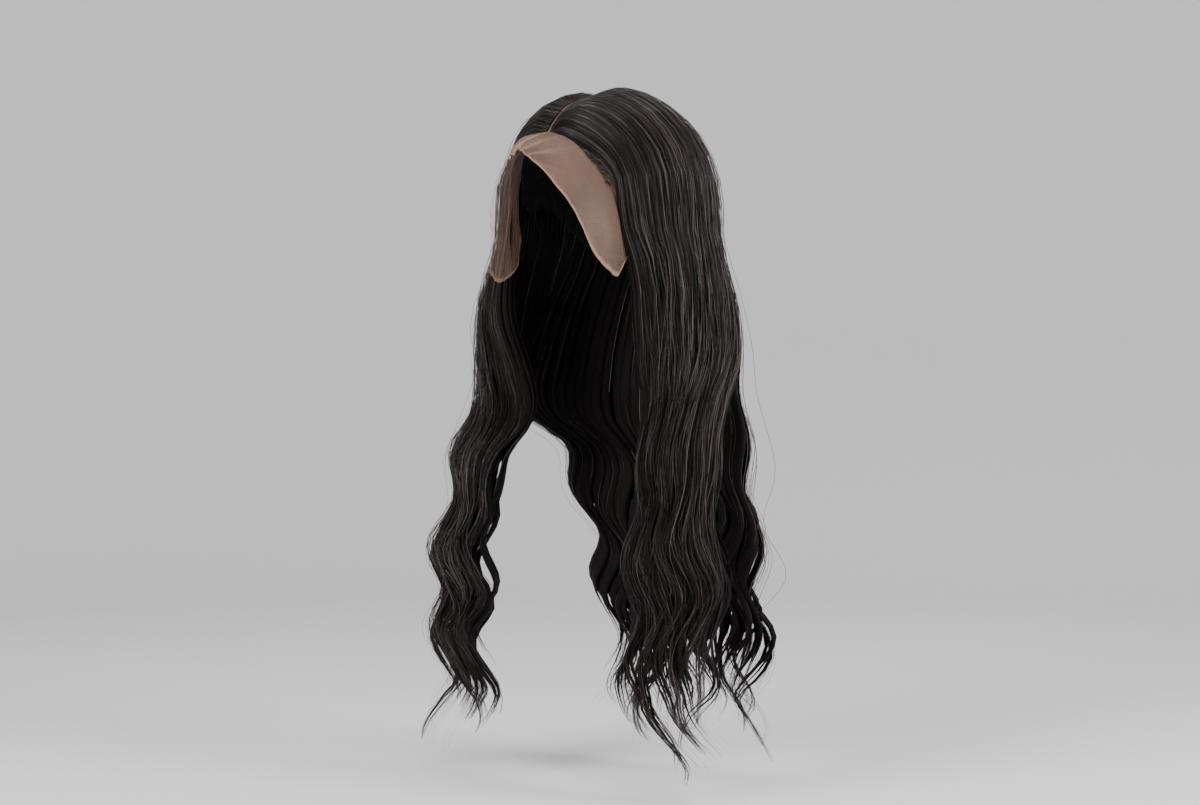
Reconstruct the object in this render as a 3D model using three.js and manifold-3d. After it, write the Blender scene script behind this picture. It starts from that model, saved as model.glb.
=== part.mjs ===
// A long lace-front wig with a centre part and body-wave hair, in the shape that it takes when worn.
// Millimetres. +Z is up, the face opening looks along -Y, and +X is the wearer's left.
// The origin is the inner top of the cap, where it sits on the crown of the head.
// The hair falls in three masses: one over the front of each shoulder and one down the back.
import * as THREE from "three";
import { mergeVertices } from "three/addons/utils/BufferGeometryUtils.js";
import Module from "manifold-3d";

const wasm = await Module();
wasm.setup();

// The head that the cap fits, down to its widest level.
const HEAD_HALF_WIDTH = 77;
const HEAD_HALF_LENGTH = 98;
const HEAD_HEIGHT = 105;
const HEAD_SQUARENESS = 2.1;

// Cloth walls and the gap that sewn neighbours keep.
const CAP_WALL = 1.5;
const LACE_WALL = 1;
const SEAM_GAP = 0.3;
const FINEST_DETAIL = 0.05;
const HAIR_CLEARANCE = CAP_WALL + 6 * SEAM_GAP;

// The parting, from the front hairline back to the crown.
const PART_FRONT = 0.87 * HEAD_HALF_LENGTH;
const PART_BACK = 0.31 * HEAD_HALF_LENGTH;
const PART_HALF_GAP = 2;
const PART_STRIP_WIDTH = 16;
const PART_VALLEY_WIDTH = 14;
const PART_VALLEY_SHARE = 0.4;
const STRANDS_ON_PART = 0.6;

// How far the hair stands off the head, and how thin it may get at its roots.
const COVER_SIDE = 31;
const COVER_BACK = 27;
const COVER_FRONT = 5;
const COVER_TOP = 9;
const COVER_ROOT = 6;
const COVER_LEAST = 3;
const HAIR_SQUARENESS = 1.92;
const HAIRLINE_BULGE = 6;
const HAIRLINE_BAND = 0.25;

// How far the lace's free edge stands off the face, at the sides and in front.
const LACE_FLARE_SIDE = 18;
const LACE_FLARE_FRONT = 28;
const LACE_SEAM = 2.5 * SEAM_GAP;
const LACE_LEAST_DEG = 4;
const LACE_BEND = [0.85, 0.3];

// The falls: drop from the crown to the longest tips, and how far they lie from the origin.
const HAIR_DROP = 650;
const FRONT_SPREAD = 185;
const CHEST_REACH = 58;
const BACK_SPREAD = 140;
const BACK_REACH = 100;
const FALL_THICK = 36;
const BACK_BOW = 74;
const FALL_EDGE = 6;
const RIB_DEPTH = 3.5;
const LOCK_DEPTH = 12;
const LOCK_POINT = 4;

// The body waves: they start below the ears, and swing less outwards than along the fall.
const WAVE_PITCH = 118;
const WAVE_DEPTH = 12;
const WAVE_LIFT = 5;
const WAVE_FIRST = 0.3;
const WAVE_FULL = 0.7;

// Steps of the faceted surfaces.
const CAP_TURNS = 36;
const CAP_STEPS = 8;
const DOME_STEPS = 8;
const LEVEL_STEPS = 20;
const LOCKS_IN_FRONT = 6;
const LOCKS_BEHIND = 9;
const TIP_SIDES = 6;
const TIP_STEPS = 8;
const LACE_TURNS = 24;
const LACE_HEAD_STEPS = 3;
const LACE_FREE_STEPS = 6;

// Where a fall stops being one mass and its locks go on alone, as shares of HAIR_DROP.
const MASS_END = 0.87;
const MASS_RAGGED = 0.02;
const TIP_START = 0.78;
const TIP_BLUNT = 0.2;
const TIP_FILL = 0.62;
const TIP_ASIDE = 0.04;
const LOCK_LEVEL = 0.55;
const MASS_THINNED = 0.6;

// The first strand lies this far round from the face, and SPLIT is the share that falls in front.
const FACE_EDGE_DEG = 55;
const SPLIT = 0.45;
const RING_SHARE = HEAD_HEIGHT / HAIR_DROP;
const RING_BLEND = 0.13;

// The cap's lower edge round the head: turn is degrees from the face, edge the angle down from the crown.
const CAP_EDGE = [
  { turn: 0, edge: 35 },
  { turn: 30, edge: 38 },
  { turn: 45, edge: 47 },
  { turn: 58, edge: 66 },
  { turn: 70, edge: 88 },
  { turn: 82, edge: 92 },
  { turn: 98, edge: 88 },
  { turn: 115, edge: 100 },
  { turn: 135, edge: 113 },
  { turn: 180, edge: 117 },
];

// The lace from its seam with the cap to its free edge: hairline in degrees down from the crown,
// drop as a share of HEAD_HEIGHT and flare of the flare sizes.
const LACE_EDGE = [
  { turn: 0, hairline: 53, drop: 0.58, flare: 1 },
  { turn: 14, hairline: 55, drop: 0.76, flare: 1 },
  { turn: 22, hairline: 57, drop: 0.9, flare: 1 },
  { turn: 31, hairline: 62, drop: 1.11, flare: 1 },
  { turn: 38, hairline: 68, drop: 1.34, flare: 1 },
  { turn: 44, hairline: 75, drop: 1.56, flare: 1 },
  { turn: 50, hairline: 83, drop: 1.69, flare: 0.9 },
  { turn: 54, hairline: 90, drop: 1.74, flare: 0.7 },
  { turn: 59, hairline: 100, drop: 1.66, flare: 0.25 },
  { turn: 63, hairline: 108, drop: 1.55, flare: 0 },
];

// Cross-sections of a fall, each a bowed line from one edge to the other.
// down is a share of HAIR_DROP, *_side of the spread, *_ahead of the reach, bow of BACK_BOW, thick of FALL_THICK.
const LEFT_SECTIONS = [
  { down: 0.16, near_side: 0.4, near_ahead: 0.9, far_side: 0.56, far_ahead: -1.03, bow: 0.36, thick: 0.72 },
  { down: 0.25, near_side: 0.41, near_ahead: 0.76, far_side: 0.63, far_ahead: -0.97, bow: 0.35, thick: 0.83 },
  { down: 0.34, near_side: 0.43, near_ahead: 0.76, far_side: 0.68, far_ahead: -0.93, bow: 0.3, thick: 0.94 },
  { down: 0.4, near_side: 0.45, near_ahead: 0.76, far_side: 0.72, far_ahead: -0.72, bow: 0.27, thick: 1 },
  { down: 0.46, near_side: 0.47, near_ahead: 0.78, far_side: 0.76, far_ahead: -0.24, bow: 0.22, thick: 1 },
  { down: 0.58, near_side: 0.45, near_ahead: 0.86, far_side: 0.79, far_ahead: 0.21, bow: 0.18, thick: 1 },
  { down: 0.68, near_side: 0.43, near_ahead: 0.97, far_side: 0.83, far_ahead: 0.21, bow: 0.16, thick: 1 },
  { down: 0.8, near_side: 0.42, near_ahead: 0.98, far_side: 0.83, far_ahead: 0.21, bow: 0.14, thick: 0.94 },
  { down: 0.92, near_side: 0.43, near_ahead: 0.97, far_side: 0.79, far_ahead: 0.24, bow: 0.11, thick: 0.75 },
  { down: 1, near_side: 0.48, near_ahead: 0.93, far_side: 0.75, far_ahead: 0.31, bow: 0.08, thick: 0.44 },
];
const RIGHT_SECTIONS = [
  { down: 0.16, near_side: 0.4, near_ahead: 0.9, far_side: 0.56, far_ahead: -1.03, bow: 0.36, thick: 0.72 },
  { down: 0.25, near_side: 0.42, near_ahead: 0.76, far_side: 0.64, far_ahead: -0.93, bow: 0.41, thick: 0.83 },
  { down: 0.34, near_side: 0.43, near_ahead: 0.79, far_side: 0.71, far_ahead: -0.79, bow: 0.42, thick: 0.94 },
  { down: 0.42, near_side: 0.38, near_ahead: 0.66, far_side: 0.82, far_ahead: -0.34, bow: 0.38, thick: 1 },
  { down: 0.5, near_side: 0.38, near_ahead: 0.72, far_side: 0.93, far_ahead: 0.1, bow: 0.27, thick: 1 },
  { down: 0.55, near_side: 0.48, near_ahead: 0.9, far_side: 0.93, far_ahead: 0.45, bow: 0.19, thick: 0.94 },
  { down: 0.61, near_side: 0.57, near_ahead: 1.07, far_side: 0.91, far_ahead: 0.62, bow: 0.12, thick: 0.89 },
  { down: 0.7, near_side: 0.58, near_ahead: 1.03, far_side: 0.96, far_ahead: 0.79, bow: 0.12, thick: 0.92 },
  { down: 0.82, near_side: 0.61, near_ahead: 1.03, far_side: 0.96, far_ahead: 0.79, bow: 0.12, thick: 0.86 },
  { down: 0.92, near_side: 0.58, near_ahead: 1, far_side: 0.93, far_ahead: 0.76, bow: 0.11, thick: 0.72 },
  { down: 1, near_side: 0.58, near_ahead: 0.93, far_side: 0.86, far_ahead: 0.76, bow: 0.08, thick: 0.44 },
];
const BACK_SECTIONS = [
  { down: 0.16, near_side: 0.74, near_ahead: -0.6, far_side: -0.74, far_ahead: -0.6, bow: 1, thick: 0.83 },
  { down: 0.25, near_side: 0.85, near_ahead: -0.68, far_side: -0.85, far_ahead: -0.66, bow: 0.95, thick: 0.89 },
  { down: 0.34, near_side: 0.91, near_ahead: -0.72, far_side: -0.91, far_ahead: -0.68, bow: 0.86, thick: 0.94 },
  { down: 0.44, near_side: 0.9, near_ahead: -0.78, far_side: -0.88, far_ahead: -0.76, bow: 0.7, thick: 1 },
  { down: 0.54, near_side: 0.91, near_ahead: -0.88, far_side: -0.77, far_ahead: -0.88, bow: 0.51, thick: 1 },
  { down: 0.66, near_side: 0.91, near_ahead: -0.94, far_side: -0.6, far_ahead: -0.93, bow: 0.38, thick: 0.97 },
  { down: 0.75, near_side: 0.89, near_ahead: -0.95, far_side: -0.46, far_ahead: -0.95, bow: 0.32, thick: 0.94 },
  { down: 0.85, near_side: 0.89, near_ahead: -0.96, far_side: -0.43, far_ahead: -0.97, bow: 0.28, thick: 0.86 },
  { down: 0.94, near_side: 0.83, near_ahead: -0.95, far_side: -0.41, far_ahead: -0.95, bow: 0.26, thick: 0.69 },
  { down: 1, near_side: 0.77, near_ahead: -0.92, far_side: -0.37, far_ahead: -0.93, bow: 0.22, thick: 0.44 },
];

// Each lock's own end: across is its place in the fall, reach its length as a share of HAIR_DROP.
const FRONT_TIPS = [
  { across: 0.07, reach: 0.96, lag: 0 },
  { across: 0.24, reach: 1, lag: 0.6 },
  { across: 0.42, reach: 0.975, lag: 1.3 },
  { across: 0.6, reach: 0.995, lag: 2 },
  { across: 0.78, reach: 0.96, lag: 2.7 },
  { across: 0.93, reach: 0.93, lag: 3.3 },
];
const BACK_TIPS = [
  { across: 0.04, reach: 0.96, lag: 0 },
  { across: 0.16, reach: 0.99, lag: 0.5 },
  { across: 0.28, reach: 0.97, lag: 1.1 },
  { across: 0.4, reach: 1, lag: 1.6 },
  { across: 0.52, reach: 0.98, lag: 2.2 },
  { across: 0.64, reach: 0.995, lag: 2.8 },
  { across: 0.76, reach: 0.965, lag: 3.3 },
  { across: 0.88, reach: 0.985, lag: 3.9 },
  { across: 0.97, reach: 0.95, lag: 4.4 },
];

const LEFT_FALL = {
  side: 1, sections: LEFT_SECTIONS, spread: FRONT_SPREAD, reach: CHEST_REACH,
  tips: FRONT_TIPS, locks: LOCKS_IN_FRONT, seam: 4, wave_start: 0.856, wave_lag: Math.PI, swing: -1,
};
const RIGHT_FALL = {
  side: -1, sections: RIGHT_SECTIONS, spread: FRONT_SPREAD, reach: CHEST_REACH,
  tips: FRONT_TIPS, locks: LOCKS_IN_FRONT, seam: 4, wave_start: 0.85, wave_lag: 0.4, swing: 1,
};
const BACK_FALL = {
  side: 1, sections: BACK_SECTIONS, spread: BACK_SPREAD, reach: BACK_REACH,
  tips: BACK_TIPS, locks: LOCKS_BEHIND, seam: 3, wave_start: 0.93, wave_lag: 2 * Math.PI, swing: 1,
};

const radians = THREE.MathUtils.degToRad;
const lerp = THREE.MathUtils.lerp;
const smooth = (x) => THREE.MathUtils.smoothstep(x, 0, 1);

// A smooth curve through one column of a table, read at a value of its first column.
function read(table, where, column, value) {
  const last = table.length - 1;
  const at = Math.min(Math.max(value, table[0][where]), table[last][where]);
  let i = 0;
  while (i < last - 1 && table[i + 1][where] < at) i += 1;
  const [p0, p1, p2, p3] = [i - 1, i, i + 1, i + 2].map((k) => table[Math.min(Math.max(k, 0), last)]);
  const step = p2[where] - p1[where];
  const t = (at - p1[where]) / step;
  const in1 = ((p2[column] - p0[column]) / (p2[where] - p0[where])) * step;
  const in2 = ((p3[column] - p1[column]) / (p3[where] - p1[where])) * step;
  return (
    (2 * t ** 3 - 3 * t ** 2 + 1) * p1[column] + (t ** 3 - 2 * t ** 2 + t) * in1 +
    (3 * t ** 2 - 2 * t ** 3) * p2[column] + (t ** 3 - t ** 2) * in2
  );
}

// A point at a distance off the head: turn from the face and angle down from the crown, in degrees.
function onHead(turn, angle, off) {
  const power = 2 / HEAD_SQUARENESS;
  const out = Math.sin(radians(angle)) ** power;
  const cos = Math.cos(radians(angle));
  const up = Math.sign(cos) * Math.abs(cos) ** power;
  return new THREE.Vector3(
    (HEAD_HALF_WIDTH + off) * Math.sin(radians(turn)) * out,
    -(HEAD_HALF_LENGTH + off) * Math.cos(radians(turn)) * out,
    (HEAD_HEIGHT + off) * up - HEAD_HEIGHT,
  );
}

// A closed geometry as a solid that can be cut and joined.
function asSolid(geometry) {
  for (const name of ["normal", "uv"]) geometry.deleteAttribute(name);
  const merged = mergeVertices(geometry, 1e-4);
  const vertProperties = merged.attributes.position.array;
  const triVerts = new Uint32Array(merged.index.array);
  return new wasm.Manifold(new wasm.Mesh({ numProp: 3, vertProperties, triVerts }));
}

// A closed solid from points and triangles, turned to face out.
function solid(points, triangles) {
  const flat = points.flatMap((p) => [p.x, p.y, p.z]);
  const make = (faces) => {
    const geometry = new THREE.BufferGeometry();
    geometry.setAttribute("position", new THREE.Float32BufferAttribute(flat, 3));
    geometry.setIndex(faces.flat());
    return asSolid(geometry);
  };
  const made = make(triangles);
  return made.volume() < 0 ? make(triangles.map(([a, b, c]) => [a, c, b])) : made;
}

// A wall between two grids of points of one size, closed along all four edges.
function wall(outer, inner) {
  const rows = outer.length;
  const columns = outer[0].length;
  const points = [...outer.flat(), ...inner.flat()];
  const out = (i, j) => i * columns + j;
  const into = (i, j) => rows * columns + out(i, j);
  const triangles = [];
  const quad = (a, b, c, d) => triangles.push([a, b, c], [a, c, d]);
  for (let i = 0; i < rows - 1; i += 1) {
    for (let j = 0; j < columns - 1; j += 1) {
      quad(out(i, j), out(i, j + 1), out(i + 1, j + 1), out(i + 1, j));
      quad(into(i, j), into(i + 1, j), into(i + 1, j + 1), into(i, j + 1));
    }
    quad(out(i, 0), out(i + 1, 0), into(i + 1, 0), into(i, 0));
    quad(out(i, columns - 1), into(i, columns - 1), into(i + 1, columns - 1), out(i + 1, columns - 1));
  }
  for (let j = 0; j < columns - 1; j += 1) {
    quad(out(0, j), into(0, j), into(0, j + 1), out(0, j + 1));
    quad(out(rows - 1, j), out(rows - 1, j + 1), into(rows - 1, j + 1), into(rows - 1, j));
  }
  return solid(points, triangles);
}

// A solid through closed rings, shut by a fan at each end.
function skinned(rings, first, last) {
  const sides = rings[0].length;
  const points = [...rings.flat(), first, last];
  const at = (i, j) => i * sides + (j % sides);
  const [start, end] = [points.length - 2, points.length - 1];
  const triangles = [];
  for (let j = 0; j < sides; j += 1) {
    triangles.push([start, at(0, j + 1), at(0, j)], [end, at(rings.length - 1, j), at(rings.length - 1, j + 1)]);
    for (let i = 0; i < rings.length - 1; i += 1) {
      triangles.push([at(i, j), at(i, j + 1), at(i + 1, j + 1)], [at(i, j), at(i + 1, j + 1), at(i + 1, j)]);
    }
  }
  return solid(points, triangles);
}

// How far down from the crown the cap reaches, all round the head.
function capEdge(turn) {
  return read(CAP_EDGE, "turn", "edge", Math.abs(turn));
}

// Rings of the cap, from just under the crown down to its edge.
function capRings(off) {
  return Array.from({ length: CAP_STEPS }, (_, i) =>
    Array.from({ length: CAP_TURNS }, (_, j) => {
      const turn = (360 * j) / CAP_TURNS - 180;
      return onHead(turn, (capEdge(turn) * (i + 1)) / CAP_STEPS, off);
    }),
  );
}

// The whole cap layer, before the parting strip is let into it.
function capLayer() {
  return skinned([...capRings(CAP_WALL), ...capRings(0).reverse()], onHead(0, 0, CAP_WALL), onHead(0, 0, 0));
}

// A block over the parting, from the front of the head to the crown end of the part.
function partBlock(width) {
  const length = HEAD_HALF_LENGTH + PART_BACK;
  const box = new THREE.BoxGeometry(width, length, HEAD_HEIGHT);
  box.translate(0, PART_BACK - length / 2, 0);
  return asSolid(box);
}

// One line of the lace, at a distance off the head down to the hairline, then free to its edge.
function laceLine(turn, off, lower) {
  const at = (column) => read(LACE_EDGE, "turn", column, Math.abs(turn));
  const seam = capEdge(turn) + THREE.MathUtils.radToDeg((LACE_SEAM - lower) / HEAD_HEIGHT);
  const hairline = Math.max(at("hairline"), seam + LACE_LEAST_DEG);
  const root = onHead(turn, hairline, off);
  const edge = new THREE.Vector3(
    (HEAD_HALF_WIDTH + LACE_FLARE_SIDE * at("flare") + off) * Math.sin(radians(turn)),
    -(HEAD_HALF_LENGTH + LACE_FLARE_FRONT * at("flare") + off) * Math.cos(radians(turn)),
    -at("drop") * HEAD_HEIGHT - lower,
  );
  const [ahead, sunk] = LACE_BEND;
  const bend = new THREE.Vector3(
    lerp(root.x, edge.x, ahead),
    lerp(root.y, edge.y, ahead),
    lerp(root.z, edge.z, sunk),
  );
  const onCap = (i) => onHead(turn, lerp(seam, hairline, i / LACE_HEAD_STEPS), off);
  return [
    ...Array.from({ length: LACE_HEAD_STEPS }, (_, i) => onCap(i)),
    ...new THREE.QuadraticBezierCurve3(root, bend, edge).getPoints(LACE_FREE_STEPS),
  ];
}

// The lace front, or with room the space that its neighbours leave round it.
function laceWall(room) {
  const widest = LACE_EDGE[LACE_EDGE.length - 1].turn + THREE.MathUtils.radToDeg(room / HEAD_HALF_WIDTH);
  const turns = Array.from({ length: LACE_TURNS + 1 }, (_, j) => lerp(-widest, widest, j / LACE_TURNS));
  return wall(
    turns.map((turn) => laceLine(turn, LACE_WALL + room, room)),
    turns.map((turn) => laceLine(turn, -room, room)),
  );
}

// Where a strand of one side starts: along the parting, or round its end at the crown.
function partPoint(strand) {
  const before = strand / STRANDS_ON_PART;
  if (before < 1) return { x: PART_HALF_GAP, y: lerp(-PART_FRONT, PART_BACK, before) };
  const round = ((strand - STRANDS_ON_PART) / (1 - STRANDS_ON_PART)) * (Math.PI / 2);
  return { x: PART_HALF_GAP * Math.cos(round), y: PART_BACK + PART_HALF_GAP * Math.sin(round) };
}

// The height of a dome over a point of its plan.
function domeHeight(x, y, width, length, height, squareness) {
  const out = Math.min(Math.hypot(x / width, y / length), 1);
  return height * (1 - out ** squareness) ** (1 / squareness) - HEAD_HEIGHT;
}

// A point in the hair over the head. strand runs from 0 at the face to 1 at the middle of the back,
// angle from 0 at the parting to 90 at the widest level, and depth from 0 on the head to 1 outside.
function overHead(strand, side, angle, depth) {
  const full = smooth(strand / HAIRLINE_BAND);
  const from = partPoint(strand);
  const turn = radians(lerp(FACE_EDGE_DEG, 180, strand));
  const cover = (most) => HAIR_CLEARANCE + depth * lerp(COVER_ROOT, most, full);
  const width = HEAD_HALF_WIDTH + cover(COVER_SIDE);
  const length = HEAD_HALF_LENGTH + (cover(COVER_FRONT) + cover(COVER_BACK)) / 2;
  const shift = (cover(COVER_BACK) - cover(COVER_FRONT)) / 2;
  const along = Math.sin(radians(angle));
  const bulge = HAIRLINE_BULGE * 4 * along * (1 - along) * (1 - full);
  const x = lerp(from.x, width * Math.sin(turn), along);
  const y = lerp(from.y, shift - length * Math.cos(turn), along) - bulge;
  const valley = 1 - PART_VALLEY_SHARE * Math.exp(-((x / PART_VALLEY_WIDTH) ** 2));
  const squareness = lerp(HEAD_SQUARENESS, HAIR_SQUARENESS, depth * full);
  const outside = domeHeight(x, y - shift, width, length, HEAD_HEIGHT + cover(COVER_TOP) * valley, squareness);
  const [w, l, h] = [HEAD_HALF_WIDTH, HEAD_HALF_LENGTH, HEAD_HEIGHT].map((size) => size + HAIR_CLEARANCE);
  const least = domeHeight(x, y, w, l, h, HEAD_SQUARENESS) + depth * COVER_LEAST;
  return new THREE.Vector3(side * x, y, depth ? Math.max(outside, least) : least);
}

// The strand and side of the head that a place across a fall belongs to.
function strandOf(fall, across) {
  if (fall !== BACK_FALL) return { strand: SPLIT * across, side: fall.side };
  const half = Math.abs(1 - 2 * across);
  return { strand: lerp(1, SPLIT, half), side: across < 0.5 ? 1 : -1 };
}

// A point in a fall under the widest level of the head: down is a share of HAIR_DROP.
function inFall(fall, across, down, depth, lag = 0) {
  const at = (column) => read(fall.sections, "down", column, down);
  const near = new THREE.Vector2(fall.side * fall.spread * at("near_side"), -fall.reach * at("near_ahead"));
  const far = new THREE.Vector2(fall.side * fall.spread * at("far_side"), -fall.reach * at("far_ahead"));
  const chord = far.clone().sub(near).normalize();
  const outward = new THREE.Vector2(chord.y, -chord.x).multiplyScalar(fall.side);
  const middle = Math.sqrt(1 - (2 * Math.min(Math.max(across, 0), 1) - 1) ** 4);
  const thick = lerp(FALL_EDGE, FALL_THICK * at("thick"), middle);
  const off = BACK_BOW * at("bow") * 4 * across * (1 - across) - thick * (1 - depth);
  const phase = (2 * Math.PI * (down - fall.wave_start) * HAIR_DROP) / WAVE_PITCH + fall.wave_lag * across + lag;
  const grown = smooth((down - WAVE_FIRST) / (WAVE_FULL - WAVE_FIRST));
  const flat = near.lerp(far, across);
  flat.addScaledVector(chord, fall.swing * WAVE_DEPTH * grown * Math.cos(phase));
  flat.addScaledVector(outward, off + WAVE_LIFT * grown * Math.sin(phase));
  const { strand, side } = strandOf(fall, across);
  const straight = overHead(strand, side, 90, depth);
  const fallen = smooth((down - RING_SHARE) / RING_BLEND);
  return new THREE.Vector3(lerp(straight.x, flat.x, fallen), lerp(straight.y, flat.y, fallen), -down * HAIR_DROP);
}

// The mass of a fall with the ribs of its locks, from the parting to where its locks part.
// With room it is the space that its neighbours leave round it.
function mass(fall, room) {
  const columns = 2 * fall.locks;
  const seam = (fall.seam * SEAM_GAP - room) / fall.spread;
  const edges = [fall === BACK_FALL ? seam : 0, 1 - seam];
  const row = (i, depth) =>
    Array.from({ length: columns + 1 }, (_, j) => {
      const across = lerp(edges[0], edges[1], j / columns);
      const ridge = j % 2 ? 1 : 0;
      const outer = depth + (depth * ridge * RIB_DEPTH) / FALL_THICK;
      const { strand, side } = strandOf(fall, across);
      if (i < DOME_STEPS) return overHead(strand, side, (90 * i) / DOME_STEPS, outer);
      const level = (i - DOME_STEPS) / LEVEL_STEPS;
      const ragged = (2 * ridge - 1) * MASS_RAGGED * smooth(5 * level - 4);
      const down = lerp(RING_SHARE, MASS_END, level) + ragged;
      const thinned = smooth((down - TIP_START) / (MASS_END - TIP_START));
      return inFall(fall, across, down, depth ? outer : MASS_THINNED * thinned);
    });
  const rows = Array.from({ length: DOME_STEPS + LEVEL_STEPS + 1 }, (_, i) => [row(i, 1), row(i, 0)]);
  for (const [outer, inner] of rows) {
    outer.forEach((point, j) => {
      const away = point.clone().sub(inner[j]).setLength(room);
      point.add(away);
      inner[j].sub(away);
    });
  }
  return wall(rows.map(([outer]) => outer), rows.map(([, inner]) => inner));
}

// One lock of a fall, from inside the mass to its own tip.
function tipLock(fall, tip) {
  const near = fall.spread * read(fall.sections, "down", "near_side", TIP_START);
  const far = fall.spread * read(fall.sections, "down", "far_side", TIP_START);
  const width = (TIP_FILL * Math.abs(far - near)) / fall.tips.length;
  const centre = (down, share, aside) => inFall(fall, tip.across + aside, down, LOCK_LEVEL, tip.lag * share);
  const rings = Array.from({ length: TIP_STEPS + 1 }, (_, i) => {
    const share = i / TIP_STEPS;
    const down = lerp(TIP_START, tip.reach, share);
    const middle = centre(down, share, 0);
    const along = centre(down, share, TIP_ASIDE).sub(centre(down, share, -TIP_ASIDE)).setZ(0).normalize();
    const size = lerp(1, TIP_BLUNT, share * share);
    return Array.from({ length: TIP_SIDES }, (_, j) => {
      const round = (2 * Math.PI * j) / TIP_SIDES;
      const [w, d] = [width * size * Math.cos(round), LOCK_DEPTH * size * Math.sin(round)];
      return new THREE.Vector3(along.x * w - along.y * d, along.y * w + along.x * d, 0).add(middle);
    });
  });
  const point = centre(tip.reach, 1, 0);
  return skinned(rings, centre(TIP_START, 0, 0), point.setZ(point.z - LOCK_POINT));
}

// The hair of one fall, clear of the pieces beside it.
function hair(fall, rooms) {
  const locks = fall.tips.map((tip) => tipLock(fall, tip));
  const whole = locks.reduce((sum, lock) => sum.add(lock), mass(fall, 0));
  const kept = rooms.reduce((rest, room) => rest.subtract(room), whole);
  return kept.decompose().reduce((most, piece) => (piece.volume() > most.volume() ? piece : most));
}

// A named mesh of a solid, with its own material.
function named(name, body, colour, roughness, opacity = 1) {
  const mesh = body.simplify(FINEST_DETAIL).getMesh();
  const positions = new Float32Array(mesh.numVert * 3);
  for (let i = 0; i < mesh.numVert; i += 1) {
    positions.set(mesh.vertProperties.subarray(i * mesh.numProp, i * mesh.numProp + 3), i * 3);
  }
  const geometry = new THREE.BufferGeometry();
  geometry.setAttribute("position", new THREE.BufferAttribute(positions, 3));
  geometry.setIndex(new THREE.BufferAttribute(mesh.triVerts, 1));
  const material = new THREE.MeshStandardMaterial({
    color: colour, roughness, metalness: 0, opacity, transparent: opacity < 1,
  });
  const made = new THREE.Mesh(geometry, material);
  made.name = name;
  return made;
}

const layer = capLayer();
const cap = layer.subtract(partBlock(PART_STRIP_WIDTH + 2 * SEAM_GAP));
const partStrip = layer.intersect(partBlock(PART_STRIP_WIDTH));
const laceRoom = laceWall(SEAM_GAP);
const frontRooms = [LEFT_FALL, RIGHT_FALL].map((fall) => mass(fall, SEAM_GAP));

const wig = new THREE.Group();
wig.name = "lace_front_wig";
wig.add(
  named("cap", cap, 0x1c1917, 0.9),
  named("part_strip", partStrip, 0x8a5f4c, 0.8),
  named("lace_front", laceWall(0), 0xd9c0ae, 0.6, 0.5),
  named("hair_left", hair(LEFT_FALL, [laceRoom]), 0x1b1817, 0.4),
  named("hair_right", hair(RIGHT_FALL, [laceRoom]), 0x1b1817, 0.4),
  named("hair_back", hair(BACK_FALL, frontRooms), 0x1b1817, 0.4),
);

export default wig;
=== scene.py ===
import math

import bmesh
import bpy
import numpy as np
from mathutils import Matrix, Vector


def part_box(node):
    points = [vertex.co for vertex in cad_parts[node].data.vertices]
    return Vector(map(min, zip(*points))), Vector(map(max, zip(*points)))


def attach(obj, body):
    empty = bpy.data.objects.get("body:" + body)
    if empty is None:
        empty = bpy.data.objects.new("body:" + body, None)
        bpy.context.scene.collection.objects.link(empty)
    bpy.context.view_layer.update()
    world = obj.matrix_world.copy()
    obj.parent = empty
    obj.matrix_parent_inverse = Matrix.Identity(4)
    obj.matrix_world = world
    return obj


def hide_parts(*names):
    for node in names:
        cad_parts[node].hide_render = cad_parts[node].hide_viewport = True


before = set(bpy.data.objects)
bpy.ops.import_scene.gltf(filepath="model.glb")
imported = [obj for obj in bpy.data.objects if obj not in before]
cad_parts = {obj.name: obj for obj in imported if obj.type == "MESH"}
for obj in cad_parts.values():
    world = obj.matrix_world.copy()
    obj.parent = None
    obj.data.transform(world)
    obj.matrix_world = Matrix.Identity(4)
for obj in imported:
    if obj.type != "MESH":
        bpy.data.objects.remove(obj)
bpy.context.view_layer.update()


# The studio: a round sweep of matt pale paper, floor and wall in one, just under the longest tips.
# Large soft lamps stand in front on both sides and overhead, and the camera is level with the neck.
CAMERA_TURN = math.radians(38)
CAMERA_DISTANCE = 1.9
CAMERA_HEIGHT = -0.302
CAMERA_LENS_MM = 57
FLOOR_GAP = 0.03
SWEEP_RADIUS = 3.2
SWEEP_BEND = 1.3
SWEEP_TOP = 3.0
SWEEP_CENTRE = 0.01
SWEEP_BEND_STEPS = 12
SWEEP_SPOKES = 96
SWEEP_COLOUR = (0.715, 0.702, 0.715, 1)
PAPER_GRAIN = 900.0
ROOM_LIGHT = 0.28
floor_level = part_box("hair_left")[0].z - FLOOR_GAP


def fill(tree, node, inputs):
    """Sets or links the inputs of a node, each given by its name, its identifier or its number."""
    for name, value in dict(inputs).items():
        usable = [s for s in node.inputs if s.enabled and name in (s.name, s.identifier)]
        socket = node.inputs[name] if isinstance(name, int) else usable[0]
        if isinstance(value, bpy.types.NodeSocket):
            tree.links.new(value, socket)
        else:
            socket.default_value = value


def add(tree, kind, inputs=(), **settings):
    """One node of a tree, with its settings made and its inputs set or linked."""
    made = tree.nodes.new(kind)
    for name, value in settings.items():
        setattr(made, name, value)
    fill(tree, made, inputs)
    return made


def blended(tree, factor, first, second):
    """A colour between two, by a factor."""
    mix = add(tree, "ShaderNodeMix", {"Factor": factor, "A": first, "B": second}, data_type="RGBA")
    return next(socket for socket in mix.outputs if socket.enabled)


def relief(tree, height, strength, distance):
    """Normals that follow a height too fine to be cut in the mesh."""
    bump = {"Height": height, "Strength": strength, "Distance": distance}
    return add(tree, "ShaderNodeBump", bump).outputs["Normal"]


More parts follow.
